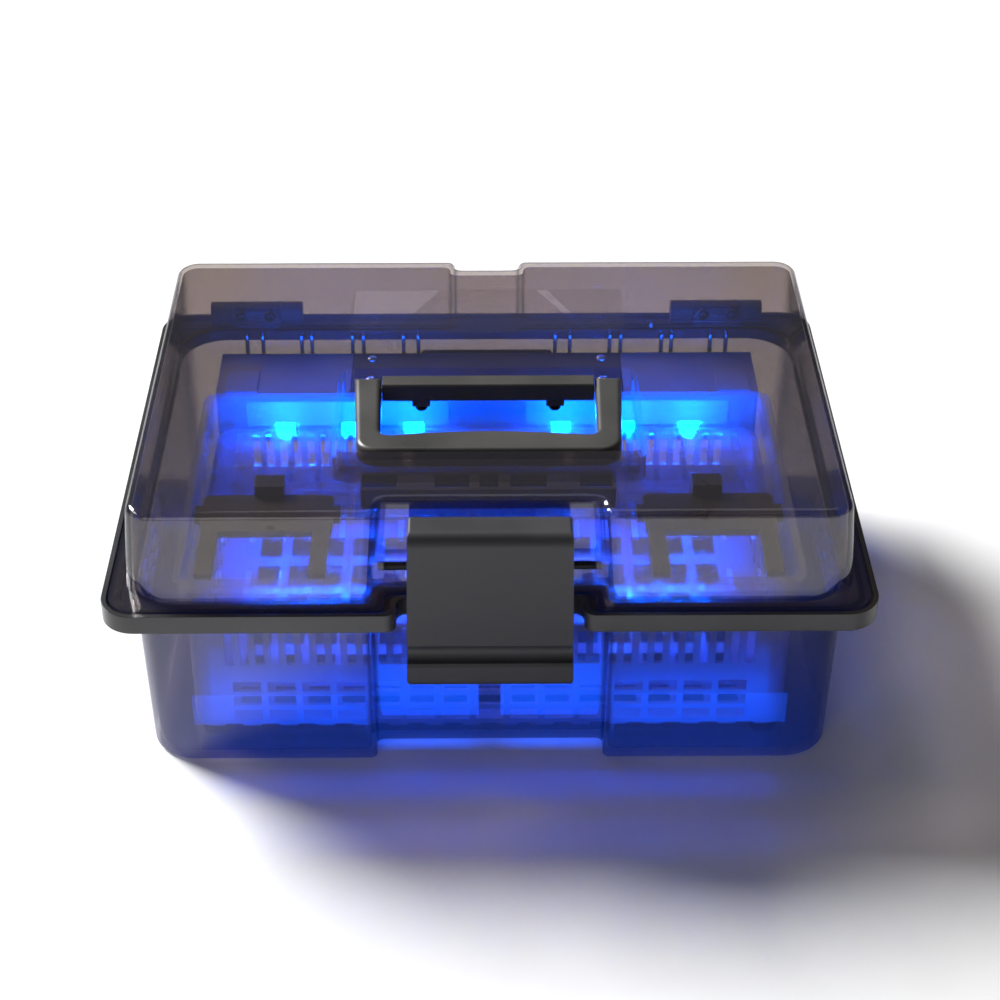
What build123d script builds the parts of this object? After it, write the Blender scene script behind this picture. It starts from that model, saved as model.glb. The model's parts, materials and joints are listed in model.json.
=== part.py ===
from build123d import *
import os

# Portable ultraviolet steriliser case for barber tools: a smoked clear base and a smoked clear
# hinged lid, with a folding handle in the lid, a front latch, a rear lamp housing, a tool tray
# and a slotted basket.
# Millimetres. X is the width, -Y is the front, +Z is up. Origin: the centre of the underside.

# ---- driving dimensions ----
RIM_X = 170.0  # half width of the base's rim
RIM_Y = 130.0  # half depth of the base's rim
RIM_TOP = 94.5
RIM_BOTTOM = 85.5
REACH_Y = 131.0  # the latch in front and the hinges behind both reach this far
LID_TOP = 136.0
WALL = 2.5
FIT = 0.05  # radial clearance of pins and shafts
SCREW_R = 1.4
SCREW_HEAD_R = 2.8
SIDES = (("left", -1), ("right", 1))

# ---- base ----
BASE_UNDER = 1.5
BASE_FLOOR = 4.5
BASE_LOW = (156.5, 116.5)  # half width and half depth at the underside
BASE_HIGH = (158.3, 118.3)  # the same at the rim
BASE_CORNER = 22.0
BAY_X = 52.0  # half width of the bay in the front wall that the latch hangs in
BAY_DEPTH = 13.0
RIM_CORNER = 15.0
RIM_BAY_X = 41.0
RIM_SEAT = 92.5  # the rim's channel, which the lid's lip sits in
BEAD = 2.2
FOOT_R = 6.5
FOOT_SPOTS = [(x, y) for x in (-128, 128) for y in (-92, 92)]
RIB_X = (36.0, 43.8, 64.8, 70.6, 92.0, 97.3, 117.7, 126.0)
RIB_HALF = 0.9
RIB_Z = (62.0, 91.0)

# ---- lid ----
LID_LOW = (160.8, 120.8)
LID_HIGH = (157.2, 112.0)
LIP = (166.8, 126.8)
LIP_BOTTOM = 93.0
LIP_TOP = 95.3
LID_CORNER_LOW = 19.0
LID_CORNER_HIGH = 10.0
LID_EDGE_R = 3.6
LID_BAY_R = 5.0
LID_BAY_LOW = (52.0, 12.0)  # half width and depth of the lid's front bay at the lip
LID_BAY_HIGH = (48.5, 11.5)
LID_BACK_LOW = (16.5, 7.0)  # the shallow groove down the lid's back
LID_BACK_HIGH = (16.0, 8.5)
WELL_X = 68.0
WELL_Y = (-64.3, 7.4)
WELL_FLOOR = 123.6
LABEL_X = 67.0
LABEL_Y = (39.0, 81.0)
LABEL_THICK = 0.5

# ---- seal between rim and lid ----
GASKET_GROOVE = (91.2, RIM_SEAT + 0.01)
GASKET = (91.2, LIP_BOTTOM)
GASKET_HALF = (164.6, 124.6)
GASKET_CORNER = 12.0
GASKET_WIDTH = 2.6
GASKET_REAR_Y = 118.0

# ---- handle ----
HANDLE_AXIS = (-3.5, 130.5)  # Y and Z of the line that the handle folds about
HANDLE_Z = (125.5, 135.5)
HANDLE_END_R = 5.0
HANDLE_PIN_R = 1.5
BRACKET_FOOT_X = (-31.5, 31.5)
BRACKET_X = 49.6
BRACKET_Z = (126.6, 135.8)

# ---- latch ----
LATCH_AXIS = (-112.0, 108.4)
LATCH_PIN_R = 2.0
LATCH_TOP = 135.4
LATCH_BOTTOM = 55.6
LATCH_FACE_Y = -129.5
LATCH_HALF_TOP = 35.3
LATCH_HALF_LOW = 36.7
LATCH_WALL = 2.5

# ---- hinges ----
HINGE_AXIS = (126.5, 99.0)
KNUCKLE_R = 4.5
HINGE_PIN_R = 1.5
HINGE_X = 121.0  # centre of each hinge
HINGE_HALF = 24.0
KNUCKLE_SPLIT = 12.7  # half length of the lid's knuckle, with its end gaps
KNUCKLE_GAP = 0.4
HINGE_PAD_Y = (115.3, 121.5)
HINGE_PAD_Z = (LIP_TOP - 1.0, 105.5)
LID_SCREW_Z = 101.4
LID_SCREW_TIP = 123.4
RIM_SCREW_Y = 124.6
RIM_SCREW_TIP = 95.6

# ---- tray and basket ----
TRAY_X = 142.0
TRAY_Y = (-88.0, 70.0)
TRAY_Z = (64.0, 82.0)
TRAY_WALL = 2.0
TRAY_CROSS_Y = 3.0  # centre of the wall between the rear trough and the front bins
TRAY_BIN_X = 64.0
TRAY_SLOT_PITCH = 14.0
BASKET_X = 138.0
BASKET_Y = (-98.0, 66.0)
BASKET_Z = (5.0, 63.6)
BASKET_WALL = 2.0
REST_X = 104.5
REST_Z = (76.5, 80.0)

# ---- lamp housing ----
HOUSE_X = 139.5
HOUSE_Y = (72.0, 112.0)
HOUSE_Z = (52.0, 79.0)
HOUSE_WALL = 2.0
COVER_Z = (79.0, 81.0)
DOOR_X = 70.0  # where each battery door starts
HOUSE_POSTS = [(x, y) for x in (-60.0, 60.0) for y in (85.0, 105.5)]
LED_X = (38.0, 71.0, 104.0)
LED_Z = 69.0
LENS_X = (20.0, 124.0)
LENS_Z = (61.5, 76.0)
BOARD_Y = (78.2, 79.8)
LED_DOME_R = 1.3
LED_PACKAGE = (3.8, 1.4)  # side and thickness
CELL_CENTRE = (98.0, 65.0)
CELL_R = 9.1
CELL_LENGTH = 65.0

# ---- rear control panel ----
PANEL_X = 26.0
PANEL_Z = (57.0, 75.0)
PANEL_Y = (118.1, 120.1)
PANEL_MID_Z = (PANEL_Z[0] + PANEL_Z[1]) / 2
PANEL_HALF_X = 35.0
PANEL_SCREW_X = (-31.0, 31.0)
CONTROL_Y = (103.4, 105.0)
BUTTON_X = -14.0
BUTTON_R = 5.0
PORT_X = 13.0
PORT_Z = 66.0


def block(x, y, z):
    """A box between three pairs of limits."""
    size = (x[1] - x[0], y[1] - y[0], z[1] - z[0])
    middle = ((x[0] + x[1]) / 2, (y[0] + y[1]) / 2, (z[0] + z[1]) / 2)
    return Pos(*middle) * Box(*size)


def mirrored(x, side):
    """The pair of limits x, on the left or right side."""
    return tuple(sorted((side * x[0], side * x[1])))


def rod_x(x, y, z, radius):
    """A cylinder along X between two limits."""
    middle = (x[0] + x[1]) / 2
    return Pos(middle, y, z) * Rot(0, 90, 0) * Cylinder(radius, x[1] - x[0])


def rod_y(x, y, z, radius):
    """A cylinder along Y between two limits."""
    middle = (y[0] + y[1]) / 2
    return Pos(x, middle, z) * Rot(90, 0, 0) * Cylinder(radius, y[1] - y[0])


def rod_z(x, y, z, radius):
    """A cylinder along Z between two limits."""
    return Pos(x, y, (z[0] + z[1]) / 2) * Cylinder(radius, z[1] - z[0])


def rounded_block(x, y, z, radius):
    """A box whose upright edges are rounded."""
    face = RectangleRounded(x[1] - x[0], y[1] - y[0], radius)
    middle = ((x[0] + x[1]) / 2, (y[0] + y[1]) / 2, z[0])
    return extrude(Pos(*middle) * face, z[1] - z[0])


def outline(half, corner, front=None, back=None, bay_r=3.0):
    """A rounded rectangle with a bay in its front edge and, if asked, one in its back edge."""
    face = RectangleRounded(2 * half[0], 2 * half[1], corner)
    bays = [(bay, side) for bay, side in ((front, -1), (back, 1)) if bay]
    for bay, side in bays:
        face -= Pos(0, side * half[1]) * Rectangle(2 * bay[0], 2 * bay[1])
    for bay, side in bays:
        ends = face.vertices().filter_by(
            lambda v: abs(abs(v.X) - bay[0]) < 0.01 and v.Y * side > 0
        )
        face = fillet(ends, min(bay_r, 0.45 * bay[1]))
    return face


def prism(face, z):
    """A face drawn on the ground plane, extruded between two heights."""
    return extrude(Pos(0, 0, z[0]) * face, z[1] - z[0])


def between(low, high, z):
    """A straight-sided loft from one outline to another."""
    return loft([Pos(0, 0, z[0]) * low, Pos(0, 0, z[1]) * high], ruled=True)


def shrink(half, by):
    """Half sizes made smaller all round."""
    return (half[0] - by, half[1] - by)


def at_height(low, high, z, wanted):
    """Half sizes at one height of a straight-sided loft."""
    share = (wanted - z[0]) / (z[1] - z[0])
    return tuple(a + (b - a) * share for a, b in zip(low, high))


def tube(points, radii, radius):
    """A round tube along straight runs that are joined by arcs."""
    path = FilletPolyline(*points, radius=radii)
    start = Plane(path @ 0, z_dir=path % 0)
    return sweep(start * Circle(radius), path=path)


# ---------------------------------------------------------------- base body


def tub_outline(half, grow):
    """The tub's outline, with the bay that the latch hangs in, made larger all round."""
    return outline(shrink(half, -grow), BASE_CORNER + grow, (BAY_X - grow, BAY_DEPTH))


def tub_body(grow=0.0):
    """The tub's outer form, filled, made larger all round."""
    span = (BASE_UNDER, RIM_SEAT)
    return between(tub_outline(BASE_LOW, grow), tub_outline(BASE_HIGH, grow), span)


def tub_room():
    """The space inside the tub's walls."""
    bay = (BAY_X + WALL, BAY_DEPTH)
    floor_half = at_height(BASE_LOW, BASE_HIGH, (BASE_UNDER, RIM_SEAT), BASE_FLOOR)
    low = outline(shrink(floor_half, WALL), BASE_CORNER - WALL, bay)
    high = outline(shrink(BASE_HIGH, WALL), BASE_CORNER - WALL, bay)
    return between(low, high, (BASE_FLOOR, RIM_SEAT))


def rear_ribs():
    """Pairs of upright ribs on the inside of the rear wall."""
    y = (113.2, BASE_HIGH[1] - WALL + 0.4)
    return [
        block(mirrored((x - RIB_HALF, x + RIB_HALF), side), y, RIB_Z)
        for _, side in SIDES
        for x in RIB_X
    ]


def base_shell():
    """The smoked tub: walls and floor, latch bay, rear ribs and the rear panel's opening."""
    shell = tub_body() - tub_room() - gasket_ring(GASKET_GROOVE)
    for rib in rear_ribs():
        shell += rib
    for x, y in FOOT_SPOTS:
        shell -= rod_z(x, y, (0.0, BASE_UNDER + 1.0), FOOT_R)
    shell -= block((-PANEL_X, PANEL_X), (112.5, 122.0), PANEL_Z)
    for x in PANEL_SCREW_X:
        shell -= rod_y(x, (112.5, 122.0), PANEL_MID_Z, SCREW_R + FIT)
    return shell


def base_rim():
    """The black rim bonded round the tub's top, with a bead and a channel for the lid's lip."""
    half = (RIM_X, RIM_Y)
    rim = prism(outline(half, RIM_CORNER, (RIM_BAY_X, BAY_DEPTH), bay_r=5.0), (RIM_BOTTOM, RIM_TOP))
    channel = outline(
        shrink(half, BEAD), RIM_CORNER - BEAD, (RIM_BAY_X + BEAD, BAY_DEPTH), bay_r=5.0
    )
    rim -= prism(channel, (RIM_SEAT, RIM_TOP + 1)) + tub_body(FIT) + gasket_ring(GASKET_GROOVE)
    for x, y in base_screw_spots():
        rim -= rod_z(x, y, (RIM_BOTTOM - 1, RIM_SEAT + 1), SCREW_R + FIT)
    return rim


def gasket_ring(z):
    """A ring that follows the rim, between two heights, with a straight run behind."""
    bay = RIM_BAY_X + 6.0
    inner_half = shrink(GASKET_HALF, GASKET_WIDTH)
    outer = outline(GASKET_HALF, GASKET_CORNER, (bay, BAY_DEPTH), bay_r=4.0)
    inner = outline(
        inner_half, GASKET_CORNER - GASKET_WIDTH, (bay + GASKET_WIDTH, BAY_DEPTH), bay_r=4.0
    )
    behind = block((-RIM_X, RIM_X), (GASKET_REAR_Y, RIM_Y), (RIM_BOTTOM, RIM_TOP + 1))
    x = GASKET_HALF[0]
    rear_run = block((-x, x), (GASKET_REAR_Y, GASKET_REAR_Y + GASKET_WIDTH), z)
    return prism(outer, z) - prism(inner, z) - behind + rear_run


def rubber_feet():
    """Four round feet in pockets under the tub."""
    return [rod_z(x, y, (0.0, BASE_UNDER + 1.0), FOOT_R - FIT) for x, y in FOOT_SPOTS]


# ---------------------------------------------------------------- hinges


def base_screw_spots():
    """Where the screws come up through the rim into the base hinge blocks."""
    reach = HINGE_HALF - 5.5
    steps = (-reach, reach)
    return [(side * (HINGE_X + step), RIM_SCREW_Y) for _, side in SIDES for step in steps]


def hinge_base(side):
    """The two outer knuckles of a hinge, on a foot that stands in the rim's channel."""
    y, z = HINGE_AXIS
    low, high = HINGE_X - HINGE_HALF, HINGE_X + HINGE_HALF
    part = block(mirrored((low, high), side), (122.0, 127.6), (RIM_SEAT, 93.9))
    for ends in ((low, HINGE_X - KNUCKLE_SPLIT), (HINGE_X + KNUCKLE_SPLIT, high)):
        x = mirrored(ends, side)
        part += block(x, (122.0, 127.6), (RIM_SEAT, z)) + rod_x(x, y, z, KNUCKLE_R)
    part -= rod_x(mirrored((low - 1, high + 1), side), y, z, HINGE_PIN_R + FIT)
    for spot_x, spot_y in base_screw_spots():
        part -= rod_z(spot_x, spot_y, (RIM_SEAT - 1, RIM_SCREW_TIP), SCREW_R + FIT)
    return part


def hinge_lid(side):
    """The middle knuckle of a hinge, on a plate against the lid's hinge pad."""
    y, z = HINGE_AXIS
    half = KNUCKLE_SPLIT - KNUCKLE_GAP
    x = mirrored((HINGE_X - half, HINGE_X + half), side)
    part = block(x, (HINGE_PAD_Y[1], y), (96.6, 103.5)) + rod_x(x, y, z, KNUCKLE_R)
    part -= rod_x((x[0] - 1, x[1] + 1), y, z, HINGE_PIN_R + FIT)
    for spot in lid_screw_x(side):
        part -= rod_y(spot, (HINGE_PAD_Y[1] - 1, LID_SCREW_TIP), LID_SCREW_Z, SCREW_R + FIT)
    return part


def lid_screw_x(side):
    """X of the two screws that hold a lid hinge leaf."""
    return [side * (HINGE_X + step) for step in (-7.5, 7.5)]


def hinge_pin(side):
    """The steel pin through one hinge."""
    y, z = HINGE_AXIS
    ends = (HINGE_X - HINGE_HALF + 0.3, HINGE_X + HINGE_HALF - 0.3)
    return rod_x(mirrored(ends, side), y, z, HINGE_PIN_R)


def hinge_base_screws():
    """Four screws that come up through the rim."""
    return [
        rod_z(x, y, (RIM_BOTTOM, RIM_SCREW_TIP - 0.2), SCREW_R)
        + rod_z(x, y, (RIM_BOTTOM - 2.0, RIM_BOTTOM), SCREW_HEAD_R)
        for x, y in base_screw_spots()
    ]


def hinge_lid_screws():
    """Four screws from inside the lid into its hinge leaves."""
    face = HINGE_PAD_Y[0]
    return [
        rod_y(x, (face, LID_SCREW_TIP - 0.2), LID_SCREW_Z, SCREW_R)
        + rod_y(x, (face - 1.8, face), LID_SCREW_Z, SCREW_HEAD_R)
        for _, side in SIDES
        for x in lid_screw_x(side)
    ]


# ---------------------------------------------------------------- lid body


def lid_body(shrink_by, top, edge_r):
    """The lid's solid shape, made smaller all round for its inside."""
    span = (LIP_BOTTOM, LID_TOP)
    high_half = at_height(LID_LOW, LID_HIGH, span, top)
    low = outline(
        shrink(LID_LOW, shrink_by),
        LID_CORNER_LOW - shrink_by,
        (LID_BAY_LOW[0] + shrink_by, LID_BAY_LOW[1]),
        (LID_BACK_LOW[0] + shrink_by, LID_BACK_LOW[1]),
        LID_BAY_R,
    )
    high = outline(
        shrink(high_half, shrink_by),
        LID_CORNER_HIGH - shrink_by,
        (LID_BAY_HIGH[0] + shrink_by, LID_BAY_HIGH[1]),
        (LID_BACK_HIGH[0] + shrink_by, LID_BACK_HIGH[1]),
        LID_BAY_R,
    )
    solid = between(low, high, (LIP_BOTTOM, top))
    return fillet(solid.faces().sort_by(Axis.Z)[-1].edges(), edge_r)


def lid_lip():
    """The flat lip round the lid's lower edge, cut back behind to leave room for the hinges."""
    face = outline(LIP, RIM_CORNER - 3.0, (RIM_BAY_X + 5.0, BAY_DEPTH), bay_r=4.0)
    behind = block((-RIM_X, RIM_X), (HINGE_PAD_Y[1], RIM_Y), (LIP_BOTTOM - 1, LIP_TOP + 1))
    return prism(face, (LIP_BOTTOM, LIP_TOP)) - behind


def lid_shell():
    """The smoked lid: walls, lip, handle well, latch lugs and hinge pads."""
    shell = lid_body(0, LID_TOP, LID_EDGE_R) + lid_lip()
    for _, side in SIDES:
        x = mirrored((HINGE_X - KNUCKLE_SPLIT, HINGE_X + KNUCKLE_SPLIT), side)
        shell += block(x, (112.0, HINGE_PAD_Y[1]), HINGE_PAD_Z)
    inside = lid_body(WALL, LID_TOP - WALL, LID_EDGE_R - WALL)
    for _, side in SIDES:
        x = mirrored((HINGE_X - KNUCKLE_SPLIT, HINGE_X + KNUCKLE_SPLIT), side)
        inside -= block(x, (HINGE_PAD_Y[0], 130.0), HINGE_PAD_Z)
    well = ((-WELL_X, WELL_X), WELL_Y, (WELL_FLOOR, LID_TOP + 1))
    around = [(a - WALL, b + WALL) for a, b in well[:2]]
    inside -= rounded_block(*around, (WELL_FLOOR - WALL, LID_TOP), 6.0)
    shell -= inside
    shell -= rounded_block(*well, 3.5)
    for _, side in SIDES:
        shell += latch_lug(side)
        for x in lid_screw_x(side):
            shell -= rod_y(x, (100.0, 123.0), LID_SCREW_Z, SCREW_R + FIT)
    for x in BRACKET_FOOT_X:
        shell -= rod_z(x, HANDLE_AXIS[0], (118.0, 126.0), SCREW_R + FIT)
    return shell


def latch_lug(side):
    """A lug on the side wall of the lid's bay, which holds one end of the latch pin."""
    y, z = LATCH_AXIS
    lug = block(mirrored((46.0, 51.2), side), (y - 4.5, y + 7.0), (z - 5.0, z + 5.0))
    return lug - rod_x(mirrored((45.0, 49.0), side), y, z, LATCH_PIN_R + FIT)


def lid_label():
    """A blank clear label plate on the lid."""
    return rounded_block((-LABEL_X, LABEL_X), LABEL_Y, (LID_TOP, LID_TOP + LABEL_THICK), 1.5)


# ---------------------------------------------------------------- handle


def handle_plan():
    """The handle from above: two arms that lean in a little and a bowed grip."""
    outer = Polygon((-63, 2.5), (-59.6, -62), (59.6, -62), (63, 2.5), align=None)
    front = outer.vertices().filter_by(lambda v: v.Y < -60)
    outer = fillet(front, 10.0)
    edge = Polyline((-49, -48.8), (-50.3, 3), (50.3, 3), (49, -48.8))
    bow = ThreePointArc((49, -48.8), (0, -45.2), (-49, -48.8))
    window = make_face([*edge.edges(), bow.edge()])
    inner = window.vertices().filter_by(lambda v: v.Y < -40)
    return outer - fillet(inner, 4.0)


def handle():
    """The folding handle, with a round end on each arm about its pin."""
    y, z = HANDLE_AXIS
    bar = extrude(Pos(0, 0, HANDLE_Z[0]) * handle_plan(), HANDLE_Z[1] - HANDLE_Z[0])
    for level, radius in zip(HANDLE_Z, (2.0, 2.5)):
        rims = bar.edges().filter_by(lambda e: abs(e.center().Z - level) < 0.01)
        bar = fillet(rims, radius)
    reach = block((-70, 70), (-70, y), HANDLE_Z) + rod_x((-70, 70), y, z, HANDLE_END_R)
    bar &= reach
    return bar - rod_x((-60.5, 60.5), y, z, HANDLE_PIN_R + FIT)


def handle_bracket():
    """The fixed bar between the handle's arms, on two feet screwed through the well's floor."""
    y, z = HANDLE_AXIS
    bar = block((-BRACKET_X, BRACKET_X), (y - 4.5, y + 4.6), BRACKET_Z)
    bar = fillet(bar.edges().filter_by(Axis.X), 1.2)
    for x in BRACKET_FOOT_X:
        bar += block((x - 4.2, x + 4.2), (y - 4.0, y + 4.0), (WELL_FLOOR, BRACKET_Z[0] + 1.5))
        bar -= rod_z(x, y, (WELL_FLOOR - 1, 128.2), SCREW_R + FIT)
    for _, side in SIDES:
        bar -= rod_x(mirrored((38, 60), side), y, z, HANDLE_PIN_R + FIT)
    return bar


def handle_pin(side):
    """A steel pin from the bracket into one arm."""
    return rod_x(mirrored((38.5, 60.2), side), *HANDLE_AXIS, HANDLE_PIN_R)


def handle_screws():
    """Two screws up through the well's floor into the bracket's feet."""
    floor = WELL_FLOOR - WALL
    y = HANDLE_AXIS[0]
    return [
        rod_z(x, y, (floor, 128.0), SCREW_R) + rod_z(x, y, (floor - 1.8, floor), SCREW_HEAD_R)
        for x in BRACKET_FOOT_X
    ]


# ---------------------------------------------------------------- latch


def latch_profile():
    """The latch from the side: rounded top, flat face, finger groove and lower lip."""
    front = LATCH_FACE_Y
    lines = [
        Line((-113.6, LATCH_TOP), (front + 6, LATCH_TOP)),
        RadiusArc((front + 6, LATCH_TOP), (front, LATCH_TOP - 6), -6),
        Line((front, LATCH_TOP - 6), (front, 77.4)),
        ThreePointArc((front, 77.4), (front + 2.8, 72.8), (front - 0.7, 68.2)),
        Line((front - 0.7, 68.2), (-REACH_Y, 66.6)),
        Line((-REACH_Y, 66.6), (-REACH_Y, LATCH_BOTTOM + 3)),
        RadiusArc((-REACH_Y, LATCH_BOTTOM + 3), (-REACH_Y + 3, LATCH_BOTTOM), -3),
        Line((-REACH_Y + 3, LATCH_BOTTOM), (-121.5, LATCH_BOTTOM)),
        Line((-121.5, LATCH_BOTTOM), (-118.4, 64.0)),
        Line((-118.4, 64.0), (-118.4, 97.5)),
        Line((-118.4, 97.5), (-113.6, 102.0)),
        Line((-113.6, 102.0), (-113.6, LATCH_TOP)),
    ]
    return make_face(lines)


def latch_front():
    """The latch from the front: a little wider at the bottom, with rounded corners."""
    face = Polygon(
        (-LATCH_HALF_LOW, LATCH_BOTTOM),
        (LATCH_HALF_LOW, LATCH_BOTTOM),
        (LATCH_HALF_TOP, LATCH_TOP),
        (-LATCH_HALF_TOP, LATCH_TOP),
        align=None,
    )
    face = fillet(face.vertices().filter_by(lambda v: v.Y < 60), 4.0)
    return fillet(face.vertices().filter_by(lambda v: v.Y > 130), 1.5)


def latch():
    """The latch flap: a shell open behind, with two ears on its pin and a hook under the rim."""
    y, z = LATCH_AXIS
    body = extrude(Plane.YZ * latch_profile(), 45, both=True)
    body &= extrude(Plane.XZ * latch_front(), 140)
    x = (LATCH_WALL - LATCH_HALF_TOP, LATCH_HALF_TOP - LATCH_WALL)
    upper_y = (LATCH_FACE_Y + LATCH_WALL, -100.0)
    body -= block(x, upper_y, (80.0, LATCH_TOP - LATCH_WALL))
    body -= block(x, (LATCH_FACE_Y + 5.0, -100.0), (60.5, 81.0))
    for _, side in SIDES:
        ear_x = mirrored((LATCH_HALF_TOP - LATCH_WALL, LATCH_HALF_TOP + 0.3), side)
        body += rod_x(ear_x, y, z, 4.4) + block(ear_x, (-120.0, y), (z - 4.0, z + 4.0))
    body += block((-22.0, 22.0), (LATCH_FACE_Y + 4.0, -117.5), (80.2, 84.4))
    return body - rod_x((-45, 45), y, z, LATCH_PIN_R + FIT)


def latch_pin():
    """The steel pin across the lid's bay that the latch rocks on."""
    return rod_x((-48.8, 48.8), *LATCH_AXIS, LATCH_PIN_R)


# ---------------------------------------------------------------- tray and basket


def tool_tray():
    """The clear lift-out tray: a rear trough, two front bins and a middle bin."""
    wall = TRAY_WALL
    x, y, z = (-TRAY_X, TRAY_X), TRAY_Y, TRAY_Z
    top = (z[0] + wall, z[1] + 1)
    part = rounded_block(x, y, z, 8.0)
    part += rounded_block((x[0] - 2, x[1] + 2), (y[0] - 2, y[1] + 1.2), (z[1] - wall, z[1]), 9.0)
    cross = (TRAY_CROSS_Y - wall / 2, TRAY_CROSS_Y + wall / 2)
    rooms = [
        ((x[0] + wall, x[1] - wall), (cross[1], y[1] - wall), 5.0),
        ((x[0] + wall, -TRAY_BIN_X - wall / 2), (y[0] + wall, cross[0]), 4.0),
        ((TRAY_BIN_X + wall / 2, x[1] - wall), (y[0] + wall, cross[0]), 4.0),
        ((-TRAY_BIN_X + wall / 2, TRAY_BIN_X - wall / 2), (y[0] + wall, cross[0]), 4.0),
    ]
    for room_x, room_y, radius in rooms:
        part -= rounded_block(room_x, room_y, top, radius)
    slots = [
        rounded_block((sx - 1.6, sx + 1.6), slot_y, (z[0] - 1, z[0] + wall + 1), 1.5)
        for slot_y in ((14.0, 34.0), (40.0, 60.0), (-76.0, -56.0), (-36.0, -16.0))
        for sx in [TRAY_SLOT_PITCH * n for n in range(-9, 10)]
    ]
    part -= slots
    for _, side in SIDES:
        for edge in (TRAY_BIN_X + wall / 2 + 0.8, TRAY_X - wall - 0.8):
            ledge_x = mirrored((edge - 1.2, edge + 1.2), side)
            part += block(ledge_x, (-40.0, -22.0), (REST_Z[0] - 2.0, REST_Z[0]))
    return part


def tool_rest(side):
    """A black rest in a front bin: a plate with two arms and a finger tab."""
    x = side * REST_X
    z = REST_Z
    part = block((x - 31, x + 31), (-47, -17), z)
    part = fillet(part.edges().filter_by(Axis.Z), 4.0)
    for arm in (x - 26, x + 26):
        part += block((arm - 4, arm + 4), (-80, -46), z)
    part += block((x - 34.5, x + 34.5), (-36, -26), z)
    part += block((x - 7, x + 7), (-19, -9), (z[0], 86.0))
    return part


def comb_rack():
    """A black rack across the middle bin, with slots for combs and blades."""
    part = rounded_block((-61.6, 61.6), (-15.0, 0.5), (70.0, 81.0), 2.5)
    for x, half in ((-52.5, 8.5), (-17.5, 8.5), (0.3, 4.6), (19.5, 9.0), (52.0, 8.0)):
        part -= block((x - half, x + half), (-12.5, -2.0), (69.0, 82.0))
    return part


def lattice(size_u, z_rows, pitch, half_window, cut):
    """Window cutters along a wall: cut(u, half, z) makes one at a place along it."""
    count = int((size_u - half_window) // pitch)
    places = [pitch * n for n in range(-count, count + 1)]
    return [cut(u, half_window, z) for u in places for z in z_rows]


def basket():
    """The slotted basket under the tray: tall slots above and a lattice below."""
    wall = BASKET_WALL
    x, y, z = (-BASKET_X, BASKET_X), BASKET_Y, BASKET_Z
    part = rounded_block(x, y, z, 10.0)
    inside = ((x[0] + wall, x[1] - wall), (y[0] + wall, y[1] - wall), (z[0] + wall, z[1] + 1))
    part -= rounded_block(*inside, 8.0)
    mid_y = (y[0] + y[1]) / 2
    half_y = (y[1] - y[0]) / 2

    def through_y(u, half, span):
        return block((u - half, u + half), (y[0] - 1, y[1] + 1), span)

    def through_x(u, half, span):
        return block((x[0] - 1, x[1] + 1), (mid_y + u - half, mid_y + u + half), span)

    def through_z(u, half, span):
        return block((u - half, u + half), span, (z[0] - 1, z[0] + wall + 1))

    rows = [(8.9 + 8.4 * n, 14.6 + 8.4 * n) for n in range(3)]
    feet = [(z[0] - 1, z[0] + 1.4)]
    floor_rows = [(mid_y - 72 + 24 * n, mid_y - 56 + 24 * n) for n in range(6)]
    for cut, reach in ((through_y, BASKET_X - 14), (through_x, half_y - 14)):
        part -= lattice(reach, rows, 16.0, 6.5, cut)
        part -= lattice(reach, [(41.5, 60.0)], 7.0, 1.9, cut)
        part -= lattice(reach, feet, 17.0, 4.2, cut)
    part -= lattice(BASKET_X - 14, floor_rows, 16.0, 5.5, through_z)
    return part


# ---------------------------------------------------------------- lamp housing


def lamp_housing():
    """The open-topped box behind the tray that holds lamps, cells and the control board."""
    wall = HOUSE_WALL
    x, y, z = (-HOUSE_X, HOUSE_X), HOUSE_Y, HOUSE_Z
    box = rounded_block(x, y, z, 4.0)
    box -= rounded_block(
        (x[0] + wall, x[1] - wall), (y[0] + wall, y[1] - wall), (z[0] + wall, z[1] + 1), 2.0
    )
    for _, side in SIDES:
        box -= block(mirrored(LENS_X, side), (y[0] - 1, y[0] + wall + 1), LENS_Z)
        divider = mirrored((DOOR_X - wall, DOOR_X), side)
        box += block(divider, (y[0] + 14, y[1] - 1), (z[0] + 1, z[1]))
    box -= block((-PANEL_X - 1, PANEL_X + 1), (y[1] - wall - 1, y[1] + 1), (56.0, 76.0))
    for spot_x, spot_y in HOUSE_POSTS:
        box += rod_z(spot_x, spot_y, (z[0] + 1, z[1]), 3.4)
        box -= rod_z(spot_x, spot_y, (z[1] - 9, z[1] + 1), SCREW_R + FIT)
    return box


def housing_cover():
    """The middle cover of the lamp housing, held by four screws."""
    cover = block((-DOOR_X + 0.3, DOOR_X - 0.3), (HOUSE_Y[0] + 0.4, HOUSE_Y[1] - 0.4), COVER_Z)
    for x, y in HOUSE_POSTS:
        cover -= rod_z(x, y, (COVER_Z[0] - 1, COVER_Z[1] + 1), SCREW_R + FIT)
    return cover


def battery_door(side):
    """A lift-off door over one cell, with a raised finger pad."""
    x = mirrored((DOOR_X + 0.1, HOUSE_X - 0.4), side)
    door = block(x, (HOUSE_Y[0] + 0.4, HOUSE_Y[1] - 0.4), COVER_Z)
    return door + block(mirrored((118, 135), side), (73, 94), (COVER_Z[1] - 1, COVER_Z[1] + 0.8))


def housing_screws():
    """Four screws through the middle cover into the housing's posts."""
    top = COVER_Z[1]
    return [
        rod_z(x, y, (top - 9.5, top), SCREW_R) + rod_z(x, y, (top, top + 1.6), SCREW_HEAD_R)
        for x, y in HOUSE_POSTS
    ]


def battery(side):
    """One rechargeable cell, lying along X, with its raised positive end."""
    x0 = 72.6
    y, z = CELL_CENTRE
    cell = rod_x(mirrored((x0, x0 + CELL_LENGTH - 1.5), side), y, z, CELL_R)
    nub = rod_x(mirrored((x0 + CELL_LENGTH - 2, x0 + CELL_LENGTH - 0.3), side), y, z, 3.0)
    return cell + nub


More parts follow.
